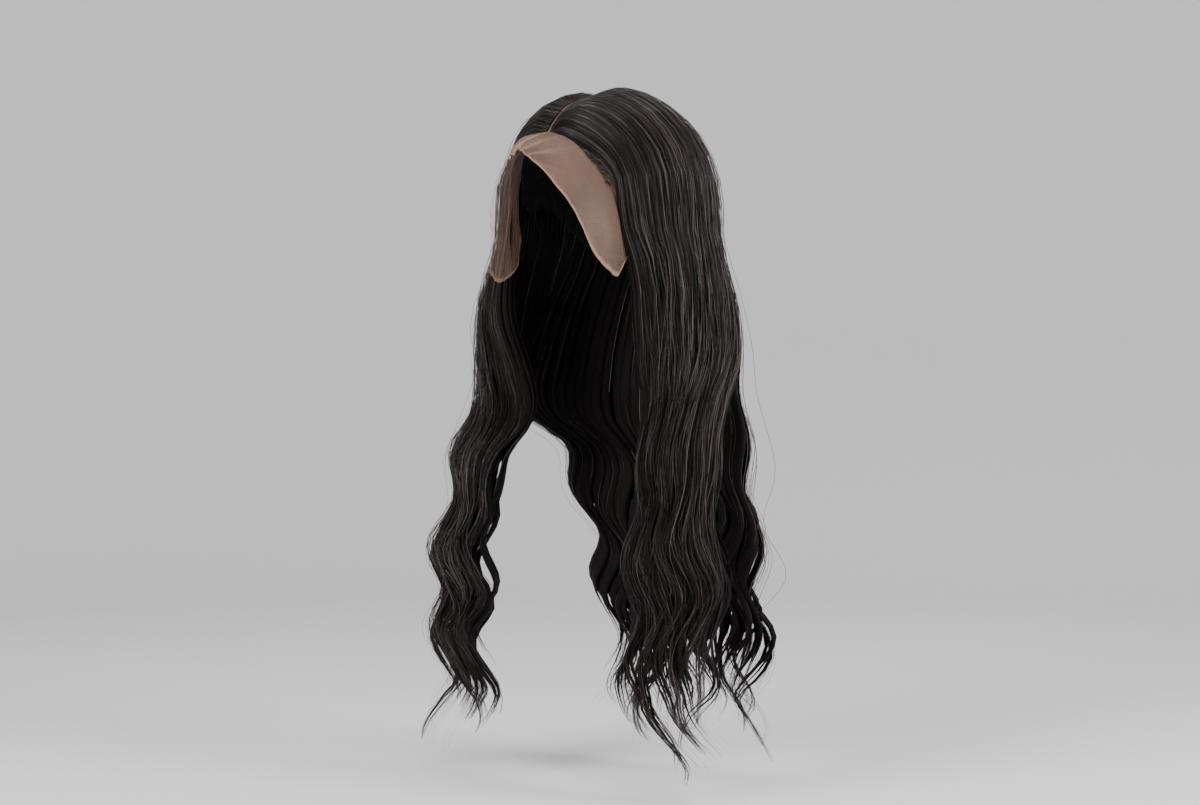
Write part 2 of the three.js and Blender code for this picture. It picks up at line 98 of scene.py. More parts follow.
def new_material(name):
    """An empty node material with its shader and the shader's tree."""
    material = bpy.data.materials.new(name)
    material.use_nodes = True
    tree = material.node_tree
    return material, tree, tree.nodes["Principled BSDF"]


def placed(name, data):
    """A new object in the scene, at the origin."""
    made = bpy.data.objects.new(name, data)
    bpy.context.collection.objects.link(made)
    return made


def grid_faces(rows, columns, closed=False):
    """Four-sided faces between rows of points, where a closed row joins its own ends."""
    faces = []
    for i in range(rows - 1):
        for j in range(columns if closed else columns - 1):
            here, beside = i * columns + j, i * columns + (j + 1) % columns
            faces.append((here, here + columns, beside + columns, beside))
    return faces


def mesh_object(name, points, faces, material):
    """A smooth object in the part's frame, from points and faces."""
    mesh = bpy.data.meshes.new(name)
    mesh.from_pydata([tuple(p) for p in points], [], faces)
    mesh.polygons.foreach_set("use_smooth", [True] * len(faces))
    mesh.materials.append(material)
    return placed(name, mesh)


def sweep():
    """The paper sweep, turned round the wig."""
    bend = [(math.sin(a), 1 - math.cos(a)) for a in np.linspace(0, math.pi / 2, SWEEP_BEND_STEPS + 1)]
    flat = SWEEP_RADIUS - SWEEP_BEND
    profile = [(SWEEP_CENTRE, floor_level), (0.5 * flat, floor_level)]
    profile += [(flat + SWEEP_BEND * out, floor_level + SWEEP_BEND * up) for out, up in bend]
    profile.append((SWEEP_RADIUS, SWEEP_TOP))
    turns = np.linspace(0, 2 * math.pi, SWEEP_SPOKES + 1)[:-1]
    points = [(r * math.cos(t), r * math.sin(t), z) for r, z in profile for t in turns]
    faces = grid_faces(len(profile), SWEEP_SPOKES, closed=True)
    faces.append(tuple(range(SWEEP_SPOKES)))
    material, tree, shader = new_material("pale_paper")
    grain = add(tree, "ShaderNodeTexNoise", {"Scale": PAPER_GRAIN, "Detail": 2.0}).outputs["Fac"]
    fill(tree, shader, {
        "Base Color": SWEEP_COLOUR, "Roughness": 0.9, "Specular IOR Level": 0.2,
        "Normal": relief(tree, grain, strength=0.05, distance=0.001),
    })
    return mesh_object("paper_sweep", points, faces, material)


def softbox(name, turn, height, distance, size, power):
    """A square lamp at a turn from the camera, in degrees to its right, aimed at the hair."""
    lamp = bpy.data.lights.new(name, "AREA")
    lamp.shape = "SQUARE"
    lamp.size = size
    lamp.energy = power
    made = placed(name, lamp)
    angle = CAMERA_TURN + math.radians(turn)
    made.location = (distance * math.sin(angle), -distance * math.cos(angle), height)
    aim = Vector((0, 0, CAMERA_HEIGHT)) - made.location
    made.rotation_euler = aim.to_track_quat("-Z", "Y").to_euler()


sweep()
softbox("lamp_left", turn=-48, height=0.7, distance=2.0, size=0.9, power=54)
softbox("lamp_right", turn=62, height=0.5, distance=2.1, size=0.8, power=60)
softbox("lamp_above", turn=20, height=2.2, distance=0.6, size=1.0, power=32)
softbox("lamp_behind", turn=165, height=1.0, distance=2.2, size=1.0, power=7)

world = bpy.data.worlds.new("studio")
bpy.context.scene.world = world
world.use_nodes = True
world.node_tree.nodes["Background"].inputs["Color"].default_value = (1, 0.99, 1, 1)
world.node_tree.nodes["Background"].inputs["Strength"].default_value = ROOM_LIGHT

camera = placed("camera", bpy.data.cameras.new("camera"))
camera.data.lens = CAMERA_LENS_MM
camera.location = (
    CAMERA_DISTANCE * math.sin(CAMERA_TURN),
    -CAMERA_DISTANCE * math.cos(CAMERA_TURN),
    CAMERA_HEIGHT,
)
camera.rotation_euler = (math.pi / 2, 0, CAMERA_TURN)
bpy.context.scene.camera = camera


# The cap: a dark stretch net that fits the head, with wefts sewn round it, hidden under the hair.
# It keeps the solid's shape and gets the net's holes and ribs as bump.
CAP_WALL = 0.0015
NET_PITCH = 0.0016
WEFT_PITCH = 0.011
BAND_PITCH = 0.314  # how far apart the bands of a wave texture are at scale 1
NET_HOLE = (0.004, 0.004, 0.004, 1)
NET_THREAD = (0.016, 0.014, 0.013, 1)


def calc(tree, operation, *values):
    """The result of one sum, on sockets or numbers."""
    return add(tree, "ShaderNodeMath", enumerate(values), operation=operation).outputs[0]


def dress(name, material):
    """Gives one of the part's solids its material."""
    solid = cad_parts[name]
    solid.data.materials.clear()
    solid.data.materials.append(material)


def cap_net():
    """Dark elastic net: a fine square mesh, with a rib where each weft is sewn on."""
    material, tree, shader = new_material("cap_net")
    place = add(tree, "ShaderNodeTexCoord").outputs["Object"]
    heights = []
    for pitch, direction in ((NET_PITCH, "X"), (NET_PITCH, "Z"), (WEFT_PITCH, "Z")):
        bands = {"Vector": place, "Scale": BAND_PITCH / pitch, "Distortion": 0.0}
        wave = add(tree, "ShaderNodeTexWave", bands, wave_type="BANDS", bands_direction=direction)
        heights.append(wave.outputs["Fac"])
    mesh = calc(tree, "MULTIPLY", heights[0], heights[1])
    ribs = calc(tree, "ADD", mesh, heights[2])
    fill(tree, shader, {
        "Base Color": blended(tree, mesh, NET_HOLE, NET_THREAD), "Roughness": 0.85,
        "Specular IOR Level": 0.25, "Normal": relief(tree, ribs, strength=0.5, distance=0.0006),
    })
    return material


dress("cap", cap_net())


# The parting: a strip of skin-toned lace let into the cap, seen as a thin line between the hair.
# Each knot where a hair is tied shows as a tiny dark dot, and the line darkens to near black towards the
# crown as painted shade, where the hair closes over it.
PART_SHADE_RANGE = (-0.08, 0.0)
KNOTS_A_METRE = 900.0
KNOT_EDGE = (0.15, 0.4)
KNOT_BROWN = (0.06, 0.043, 0.036, 1)
PART_SKIN = (0.24, 0.17, 0.142, 1)
PART_PAINTED_SHADE = (0.012, 0.009, 0.008, 1)


def ramp(tree, value, start, end, low=0.0, high=1.0, **settings):
    """A value carried from one range to another and held at its ends."""
    span = {"Value": value, "From Min": start, "From Max": end, "To Min": low, "To Max": high}
    return add(tree, "ShaderNodeMapRange", span, **settings).outputs["Result"]


def parting_lace():
    """Skin-toned lace with the dark knots of the hair tied through it."""
    material, tree, shader = new_material("parting_lace")
    place = add(tree, "ShaderNodeTexCoord").outputs["Object"]
    knots = add(tree, "ShaderNodeTexVoronoi", {"Vector": place, "Scale": KNOTS_A_METRE})
    clear = ramp(tree, knots.outputs["Distance"], *KNOT_EDGE)
    skin = blended(tree, clear, KNOT_BROWN, PART_SKIN)
    back = add(tree, "ShaderNodeSeparateXYZ", {"Vector": place}).outputs["Y"]
    # Towards the crown the skin colour goes over to near black: painted shade where the hair closes over the
    # parting.
    fill(tree, shader, {
        "Base Color": blended(tree, ramp(tree, back, *PART_SHADE_RANGE), skin, PART_PAINTED_SHADE), "Roughness": 0.9,
        "Specular IOR Level": 0.05, "Normal": relief(tree, clear, strength=0.3, distance=0.0002),
    })
    return material


dress("part_strip", parting_lace())


# The lace front: a sheet of sheer skin-toned net, sewn to the cap's front edge and cut free over the face.
# It stands off the forehead in a soft peak, gathers there in small folds, and ends in a tab at each ear.
HEAD_HALF_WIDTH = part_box("cap")[1].x - CAP_WALL
HEAD_HALF_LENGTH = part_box("cap")[1].y - CAP_WALL
HEAD_HEIGHT = 0.105
HEAD_SQUARENESS = 2.1
LACE_SPAN = 63
LACE_ROWS, LACE_STEPS_SEWN, LACE_STEPS_FREE = 127, 9, 33
LACE_HAIRLINE = 0.4
LACE_OFF_HEAD = 0.0005
LACE_FLARE_SIDE = 0.018
LACE_FLARE_FRONT = 0.028
LACE_THICKNESS = 0.0003
LACE_BEND = (0.85, 0.3)
LACE_PEAK_HALF = 16
LACE_FOLDS, LACE_FOLD_DEPTH, LACE_FOLD_FROM = 9, 0.0026, (0.42, 0.3)
LACE_FAN_TURN, LACE_FAN_SHARE, LACE_FAN_HEIGHT, LACE_FAN_WIDTH = -2, 1.12, 60, 2.2
LACE_SLACK, LACE_SLACK_RATE, LACE_SLACK_SIDE = 0.6, 0.31, 25
LACE_RUFFLE, LACE_RUFFLE_RATE, LACE_RUFFLE_DRIFT, LACE_CUT_FROM = 0.0007, 1.1, 0.37, (0.86, 0.14)
LACE_CUT_DOUBLED = 0.4
LACE_CELLS = 2600.0
LACE_CLOUD = 22.0
LACE_UNDER_HAIR = (0.42, 0.34)
LACE_RIM = (0.97, 0.99)
THREAD_EDGE = (0.05, 0.3)
CLOUD_EDGE = (0.3, 0.7)
THREAD_ALPHA = (0.135, 0.12)
UNEVEN_ALPHA = (-0.02, 0.03)
RIM_ALPHA, KNOTTED_ALPHA, FOLD_DOUBLING_AND_SHINE_ALPHA = 0.3, 0.45, 0.2
LACE_SKIN = (0.42, 0.255, 0.185, 1)
LACE_PAINTED_SHADE = (0.17, 0.11, 0.085, 1)

# Turn from the face, cap seam and hairline in degrees down from the crown, drop and flare as shares.
LACE_LINES = np.array([
    (0, 35, 53, 0.58, 1),
    (14, 35.9, 55, 0.76, 1),
    (22, 36.7, 57, 0.9, 1),
    (31, 38.4, 62, 1.11, 1),
    (38, 42, 68, 1.34, 1),
    (44, 46.3, 75, 1.56, 1),
    (50, 53.4, 83, 1.69, 0.9),
    (54, 59.5, 90, 1.74, 0.7),
    (59, 67.5, 100, 1.66, 0.25),
    (63, 75, 108, 1.55, 0),
])


def read(rows, column, value):
    """A smooth curve through one column of a table, read at values of its first column."""
    places, heights = rows[:, 0], rows[:, column]
    last = len(places) - 1
    before, after = np.maximum(np.arange(last + 1) - 1, 0), np.minimum(np.arange(last + 1) + 1, last)
    slopes = (heights[after] - heights[before]) / (places[after] - places[before])
    value = np.clip(value, places[0], places[-1])
    i = np.clip(np.searchsorted(places, value) - 1, 0, last - 1)
    step = places[i + 1] - places[i]
    t = (value - places[i]) / step
    return (
        (2 * t**3 - 3 * t**2 + 1) * heights[i] + (t**3 - 2 * t**2 + t) * slopes[i] * step
        + (3 * t**2 - 2 * t**3) * heights[i + 1] + (t**3 - t**2) * slopes[i + 1] * step
    )


def lerp(a, b, t):
    """The value a share t of the way from a to b."""
    return a + (b - a) * t


def smooth(x):
    """A soft step from 0 to 1."""
    x = np.clip(x, 0, 1)
    return x * x * (3 - 2 * x)


def rise(x, start, span):
    """A soft step from 0 at a start to 1 a span further on. Pairs named FROM hold the two."""
    return smooth((x - start) / span)


def on_head(turn, angle, off):
    """Points at a distance off the head: turn from the face and angle down from the crown, in degrees."""
    turn, angle = np.radians(turn), np.radians(angle)
    power = 2 / HEAD_SQUARENESS
    out = np.sin(angle) ** power
    up = np.sign(np.cos(angle)) * np.abs(np.cos(angle)) ** power
    x = (HEAD_HALF_WIDTH + off) * np.sin(turn) * out
    y = -(HEAD_HALF_LENGTH + off) * np.cos(turn) * out
    return np.stack([x, y, (HEAD_HEIGHT + off) * up - HEAD_HEIGHT + 0 * turn], axis=-1)


def lace_point(turn, share):
    """Points of the lace: share runs from 0 at the seam over the hairline to 1 at the free edge."""
    seam, hairline, drop, flare = (read(LACE_LINES, c, np.abs(turn)) for c in (1, 2, 3, 4))
    off = LACE_OFF_HEAD
    on = on_head(turn, lerp(seam + 1, hairline, np.clip(share / LACE_HAIRLINE, 0, 1)), off)
    root = on_head(turn, hairline, off)
    r = np.radians(turn)
    edge = np.stack([
        (HEAD_HALF_WIDTH + LACE_FLARE_SIDE * flare + off) * np.sin(r),
        -(HEAD_HALF_LENGTH + LACE_FLARE_FRONT * flare + off) * np.cos(r),
        -drop * HEAD_HEIGHT,
    ], axis=-1)
    ahead, sunk = LACE_BEND
    bend = lerp(root, edge, np.array([ahead, ahead, sunk]))
    t = np.clip((share - LACE_HAIRLINE) / (1 - LACE_HAIRLINE), 0, 1)[..., None]
    free = root * (1 - t) ** 2 + 2 * bend * t * (1 - t) + edge * t**2
    return np.where(share[..., None] < LACE_HAIRLINE, on, free)


def lace_sheet():
    """The lace as one sheet, with the small folds that gather towards its peak."""
    turns = np.linspace(-LACE_SPAN, LACE_SPAN, LACE_ROWS)
    sewn = np.linspace(0, LACE_HAIRLINE, LACE_STEPS_SEWN + 1)[:-1]
    shares = np.concatenate([sewn, np.linspace(LACE_HAIRLINE, 1, LACE_STEPS_FREE + 1)])
    turn, share = np.meshgrid(turns, shares, indexing="ij")
    points = lace_point(turn, share)
    normal = np.cross(np.gradient(points, axis=0), np.gradient(points, axis=1))
    normal /= np.linalg.norm(normal, axis=-1, keepdims=True)
    # Folds fan out from a point just past the peak, the net hangs slack beside it, and its cut edge ruffles.
    near_peak = np.exp(-((turn / LACE_PEAK_HALF) ** 2)) * rise(share, *LACE_FOLD_FROM)
    spoke = np.arctan2(turn - LACE_FAN_TURN, LACE_FAN_HEIGHT * (LACE_FAN_SHARE - share))
    fan = np.sin(LACE_FOLDS * spoke * LACE_FAN_WIDTH)
    slack = np.sin(turn * LACE_SLACK_RATE + 1) * rise(share, 0.5, 0.5)
    slack = slack * smooth(np.abs(turn) / LACE_SLACK_SIDE)
    edge = rise(share, *LACE_CUT_FROM)
    wander = 2 * np.sin(turn * LACE_RUFFLE_DRIFT)
    ruffle = LACE_RUFFLE * edge * np.sin(turn * LACE_RUFFLE_RATE + wander)
    lift = LACE_FOLD_DEPTH * (near_peak * fan + LACE_SLACK * slack) + ruffle
    # The fold ridges near the peak and the doubled crests of the slack cut edge are kept as a share that
    # thickens the net: partly the doubled net, partly a painted highlight along the fold ridges.
    doubled = LACE_CUT_DOUBLED * edge * np.clip(slack, 0, 1) ** 4
    fold_shine_and_doubling = near_peak * np.clip(fan, 0, 1) ** 3 + doubled
    points = points + normal * lift[..., None]
    faces = grid_faces(len(turns), len(shares))
    made = mesh_object("lace_veil", points.reshape(-1, 3), faces, sheer_lace())
    corners = np.array([loop.vertex_index for loop in made.data.loops])
    for label, across in (("weave", turn / (2 * LACE_SPAN) + 0.5), ("gathers", fold_shine_and_doubling)):
        uv = made.data.uv_layers.new(name=label)
        uv.data.foreach_set("uv", np.stack([across, share], axis=-1).reshape(-1, 2)[corners].ravel())
    wall = made.modifiers.new("wall", "SOLIDIFY")
    wall.thickness = LACE_THICKNESS
    wall.offset = 0
    wall.use_even_offset = True
    return made


def sheer_lace():
    """Fine skin-toned net: see-through between its threads, denser at the cut edge and under the hair."""
    material, tree, shader = new_material("sheer_lace")
    weave = add(tree, "ShaderNodeUVMap", uv_map="weave").outputs["UV"]
    gathers = add(tree, "ShaderNodeUVMap", uv_map="gathers").outputs["UV"]
    share = add(tree, "ShaderNodeSeparateXYZ", {"Vector": weave}).outputs["Y"]
    fold_shine_share = add(tree, "ShaderNodeSeparateXYZ", {"Vector": gathers}).outputs["X"]
    place = add(tree, "ShaderNodeTexCoord").outputs["Object"]
    net = {"Vector": place, "Scale": LACE_CELLS}
    cells = add(tree, "ShaderNodeTexVoronoi", net, feature="DISTANCE_TO_EDGE").outputs["Distance"]
    threads = ramp(tree, cells, *THREAD_EDGE, *THREAD_ALPHA)
    cloud = add(tree, "ShaderNodeTexNoise", {"Vector": place, "Scale": LACE_CLOUD, "Detail": 3.0})
    uneven = ramp(tree, cloud.outputs["Fac"], *CLOUD_EDGE, *UNEVEN_ALPHA)
    rim = ramp(tree, share, *LACE_RIM, 0.0, RIM_ALPHA)
    under_hair = ramp(tree, share, *LACE_UNDER_HAIR)
    knotted = calc(tree, "MULTIPLY", under_hair, KNOTTED_ALPHA)
    body = calc(tree, "ADD", threads, calc(tree, "ADD", rim, knotted))
    # Where the net folds it is made denser, and so lighter over the dark hair: partly the doubled net,
    # partly a painted highlight on the fold ridges.
    doubled = calc(tree, "MULTIPLY_ADD", fold_shine_share, FOLD_DOUBLING_AND_SHINE_ALPHA, uneven)
    # Under the hair the net is painted darker: painted shade where the hair lies over it.
    fill(tree, shader, {
        "Base Color": blended(tree, under_hair, LACE_SKIN, LACE_PAINTED_SHADE), "Roughness": 0.55,
        "Alpha": calc(tree, "ADD", body, doubled), "Sheen Weight": 0.15, "Sheen Roughness": 0.4,
    })
    return material


lace = lace_sheet()
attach(lace, "root")
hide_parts("lace_front")


# The hair of the wearer's left side: heat-set synthetic fibre in two colours that are nearly black.
# It is tied along the parting, falls over the shoulder in body waves, and parts into locks at its ends.
SEAT, CLEARANCE = CAP_WALL + 0.0004, CAP_WALL + 0.0018
PART_FRONT = 0.87 * HEAD_HALF_LENGTH
PART_BACK = 0.31 * HEAD_HALF_LENGTH
PART_HALF_GAP = 0.0021
PART_VALLEY_WIDTH = 0.018
PART_VALLEY_SHARE, PART_VALLEY_CLOSED = 0.33, 0.8
STRANDS_ON_PART = 0.6
CROWN_FROM = 0.25
COVER_SIDE, COVER_BACK, COVER_FRONT = 0.031, 0.027, 0.005
COVER_TOP, COVER_ROOT, COVER_LEAST = 0.0115, 0.006, 0.003
HAIR_SQUARENESS = 1.97
HAIRLINE_BULGE = 0.01
HAIRLINE_BAND = 0.25
TEMPLE_BAND, TEMPLE_FROM = 0.09, (35, 45)
ROOT_RISE, CROWN_RISE, ROOT_THIN = 16, 12, 0.15
EDGE_BAND, EDGE_THIN = 0.06, 0.3
FACE_EDGE = 55
SPLIT = 0.45
HAIR_DROP = 0.65
FRONT_SPREAD, CHEST_REACH = 0.185, 0.058
BACK_SPREAD, BACK_REACH, FALL_BOW = 0.14, 0.1, 0.074
FALL_THICK = 0.036
FALL_EDGE = 0.006
WAVE_PITCH = 0.106
WAVE_DEPTH, WAVE_LIFT = 0.012, 0.005
WAVE_FIRST = 0.3
RING_SHARE = HEAD_HEIGHT / HAIR_DROP
RING_BLEND = 0.13
DOME_STEPS, HANGING_STEPS, WAVE_STEPS = 9, 3, 36
STEPS_FROM_ROOT, STEPS_TO_TIP = 1.3, 1.25
TIP_LAG_FROM = (0.76, 0.2)
TIP_TURN_FROM = (0.68, 0.22)
TIP_CURL_START = 0.86
TIP_RELAX = 0.5

# Down as a share of the drop, near edge side and ahead, far edge side and ahead, bow, and thickness.
LEFT_SECTIONS = np.array([
    (0.16, 0.4, 0.9, 0.56, -1.03, 0.36, 0.72),
    (0.25, 0.41, 0.76, 0.63, -0.97, 0.35, 0.83),
    (0.34, 0.43, 0.76, 0.7, -0.93, 0.3, 0.94),
    (0.4, 0.45, 0.76, 0.75, -0.72, 0.27, 1),
    (0.46, 0.47, 0.78, 0.78, -0.24, 0.22, 1),
    (0.58, 0.45, 0.86, 0.79, 0.21, 0.18, 1),
    (0.68, 0.43, 0.97, 0.83, 0.21, 0.16, 1),
    (0.8, 0.42, 0.98, 0.83, 0.21, 0.14, 0.94),
    (0.92, 0.43, 0.97, 0.79, 0.24, 0.11, 0.75),
    (1, 0.5, 0.93, 0.79, 0.31, 0.08, 0.44),
])

# Places and shares are of the drop, and lags and turns of a wave are in radians.
LEFT_FALL = {
    "sections": LEFT_SECTIONS, "side": 1, "spread": FRONT_SPREAD, "reach": CHEST_REACH, "back": False,
    "wave_start": 0.875, "wave_full": 0.9, "wave_late": 1.6, "wave_lag": math.pi, "swing": -1,
    "tip_lag": 0, "tip_turn": 0, "relax_from": 0.89, "tip_curl": 2.0, "wispy": 0.0,
}


def part_point(strand):
    """Where a strand starts: beside the parting, or round its end at the crown."""
    before = strand / STRANDS_ON_PART
    turn = np.clip((strand - STRANDS_ON_PART) / (1 - STRANDS_ON_PART), 0, 1) * math.pi / 2
    x = PART_HALF_GAP * np.cos(turn)
    y = np.where(before < 1, lerp(-PART_FRONT, PART_BACK, before), PART_BACK + PART_HALF_GAP * np.sin(turn))
    return x, y


def dome_height(x, y, width, length, height, squareness):
    """The height of a dome over points of its plan."""
    out = np.minimum(np.hypot(x / width, y / length), 1)
    return height * (1 - out**squareness) ** (1 / squareness) - HEAD_HEIGHT


def over_head(strand, side, angle, depth):
    """Points in the hair over the head: angle from 0 at the parting to 90 at the widest level."""
    swept = rise(angle, *TEMPLE_FROM) * (np.asarray(side) < 0)
    full = smooth(strand / lerp(HAIRLINE_BAND, TEMPLE_BAND, swept))
    from_x, from_y = part_point(strand)
    turn = np.radians(lerp(FACE_EDGE, 180, strand))
    crown = rise(strand, CROWN_FROM, STRANDS_ON_PART - CROWN_FROM)
    settled = smooth(angle / lerp(ROOT_RISE, CROWN_RISE, crown))
    thinned = smooth(EDGE_THIN + strand / EDGE_BAND)
    clear = lerp(SEAT, CLEARANCE, settled)
    depth = depth * lerp(ROOT_THIN, 1, settled) * thinned

    def cover(most):
        return clear + depth * lerp(COVER_ROOT, most, full)

    width = HEAD_HALF_WIDTH + cover(COVER_SIDE)
    length = HEAD_HALF_LENGTH + (cover(COVER_FRONT) + cover(COVER_BACK)) / 2
    shift = (cover(COVER_BACK) - cover(COVER_FRONT)) / 2
    along = np.sin(np.radians(angle))
    bulge = HAIRLINE_BULGE * 4 * along * (1 - along) * (1 - full)
    x = lerp(from_x, width * np.sin(turn), along)
    y = lerp(from_y, shift - length * np.cos(turn), along) - bulge
    open_share = PART_VALLEY_SHARE * (1 - PART_VALLEY_CLOSED * crown)
    valley = 1 - open_share * np.exp(-((x / PART_VALLEY_WIDTH) ** 2))
    squareness = lerp(HEAD_SQUARENESS, HAIR_SQUARENESS, np.clip(depth, 0, 1) * full)
    outside = dome_height(x, y - shift, width, length, HEAD_HEIGHT + cover(COVER_TOP) * valley, squareness)
    head = [size + clear for size in (HEAD_HALF_WIDTH, HEAD_HALF_LENGTH, HEAD_HEIGHT)]
    least = dome_height(x, y, *head, HEAD_SQUARENESS) + depth * COVER_LEAST
    return np.stack([side * x, y, np.maximum(outside, least)], axis=-1)


def tied_at(fall, across):
    """The strand that hair at a place across a fall is tied as, and its side of the head."""
    if fall["back"]:
        return lerp(1, SPLIT, np.abs(1 - 2 * across)), np.where(across < 0.5, 1, -1)
    return SPLIT * across, fall["side"]


def in_fall(fall, across, down, depth, lag, gain):
    """Points of a fall under the widest level of the head: down is a share of the drop."""
    near_side, near_ahead, far_side, far_ahead, bow, thick = (
        read(fall["sections"], c, down) for c in range(1, 7)
    )
    near = np.stack([fall["side"] * fall["spread"] * near_side, -fall["reach"] * near_ahead], axis=-1)
    far = np.stack([fall["side"] * fall["spread"] * far_side, -fall["reach"] * far_ahead], axis=-1)
    chord = (far - near) / np.linalg.norm(far - near, axis=-1, keepdims=True)
    outward = np.stack([chord[..., 1], -chord[..., 0]], axis=-1) * fall["side"]
    middle = np.sqrt(1 - (2 * np.clip(across, 0, 1) - 1) ** 4)
    wall = lerp(FALL_EDGE, FALL_THICK * thick, middle)
    off = FALL_BOW * bow * 4 * across * (1 - across) - wall * (1 - depth)
    eased = down - TIP_RELAX * np.maximum(down - fall["relax_from"], 0)
    turns = (eased - fall["wave_start"]) * HAIR_DROP / WAVE_PITCH
    behind = lerp(fall["wave_lag"], fall["tip_lag"], rise(down, *TIP_LAG_FROM))
    phase = 2 * math.pi * turns + behind * across + lag
    phase = phase + fall["tip_turn"] * rise(down, *TIP_TURN_FROM)
    grown = rise(down, WAVE_FIRST, fall["wave_full"] - WAVE_FIRST) ** fall["wave_late"] * gain
    grown = grown * (1 + fall["tip_curl"] * rise(down, TIP_CURL_START, 1 - TIP_CURL_START))
    swing = fall["swing"] * WAVE_DEPTH * grown * np.cos(phase)
    lift = off + WAVE_LIFT * grown * np.sin(phase)
    flat = lerp(near, far, across[..., None]) + chord * swing[..., None] + outward * lift[..., None]
    strand, side = tied_at(fall, across)
    straight = over_head(strand, side, 90, depth)[..., :2]
    fallen = rise(down, RING_SHARE, RING_BLEND)[..., None]
    level = (-down * HAIR_DROP)[..., None]
    return np.concatenate([lerp(straight, flat, fallen), level], axis=-1)


def hair_path(fall, across, depth, lag, gain, reach):
    """Paths from the parting to the tips, one row each: every argument holds a value for each point."""
    steps = np.arange(across.shape[-1])
    angle = np.minimum(steps / DOME_STEPS, 1) ** STEPS_FROM_ROOT * 90
    first = lerp(RING_SHARE, WAVE_FIRST, np.clip((steps - DOME_STEPS) / HANGING_STEPS, 0, 1))
    share = np.clip((steps - DOME_STEPS - HANGING_STEPS) / WAVE_STEPS, 0, 1)
    share = 1 - (1 - share) ** STEPS_TO_TIP
    down = first + (reach - WAVE_FIRST) * share
    above = over_head(*tied_at(fall, across), angle, depth)
    below = in_fall(fall, across, down, depth, lag, gain)
    return np.where((steps <= DOME_STEPS)[None, :, None], above, below)


RIPPLE_WAVES, RIPPLE_HEIGHT = 4, 2.2


def ripple(dice, place, along, across_waves, along_waves):
    """A soft random field over the fall, about -1 to 1, so that neighbouring locks drift together."""
    total = 0
    for _ in range(RIPPLE_WAVES):
        phase = dice.uniform(0, 2 * math.pi)
        total = total + np.sin(
            2 * math.pi * (dice.uniform(0.3, 1) * across_waves * place[:, None]
                           + dice.uniform(-1, 1) * along_waves * along) + phase
        )
    return total / RIPPLE_HEIGHT


# How locks lie in a fall: how far they drift and cross, and how they draw together, part and thin out.
LOCK_OVERLAP = 1.35
LOCK_WIDTHS = (0.85, 1.45)
FREE_BY = 0.8
LOOSE_FROM = (0.3, 0.5)
DRIFT_INNER, DRIFT_OUTER = 0.015, 0.06
CROSSING_SPREAD, LOCK_SPREAD = 0.075, 0.005
DRAWN_FROM, DRAWN_SHARE, DRAWN_LEAST = (0.68, 0.3), 0.65, 0.45
LAG_TRESS, LAG_RIPPLE, LAG_LOCK, LAG_LOCK_LESS, LAG_LESS_FROM = 0.6, 0.35, 0.5, 0.42, (0.64, 0.3)
GAIN_RIPPLE, GAIN_SPREAD = 0.28, 0.05
WISPY_SIDE, WISPY_FROM = 0.4, (0.64, 0.25)
TRESS_REACH = (0.94, 1.03)
LOCK_SHORTER, INNER_SHORTER = 0.045, 0.055
FALL_MARGIN = 0.03
SIDE_STEP, DEPTH_STEP = 0.01, 0.1


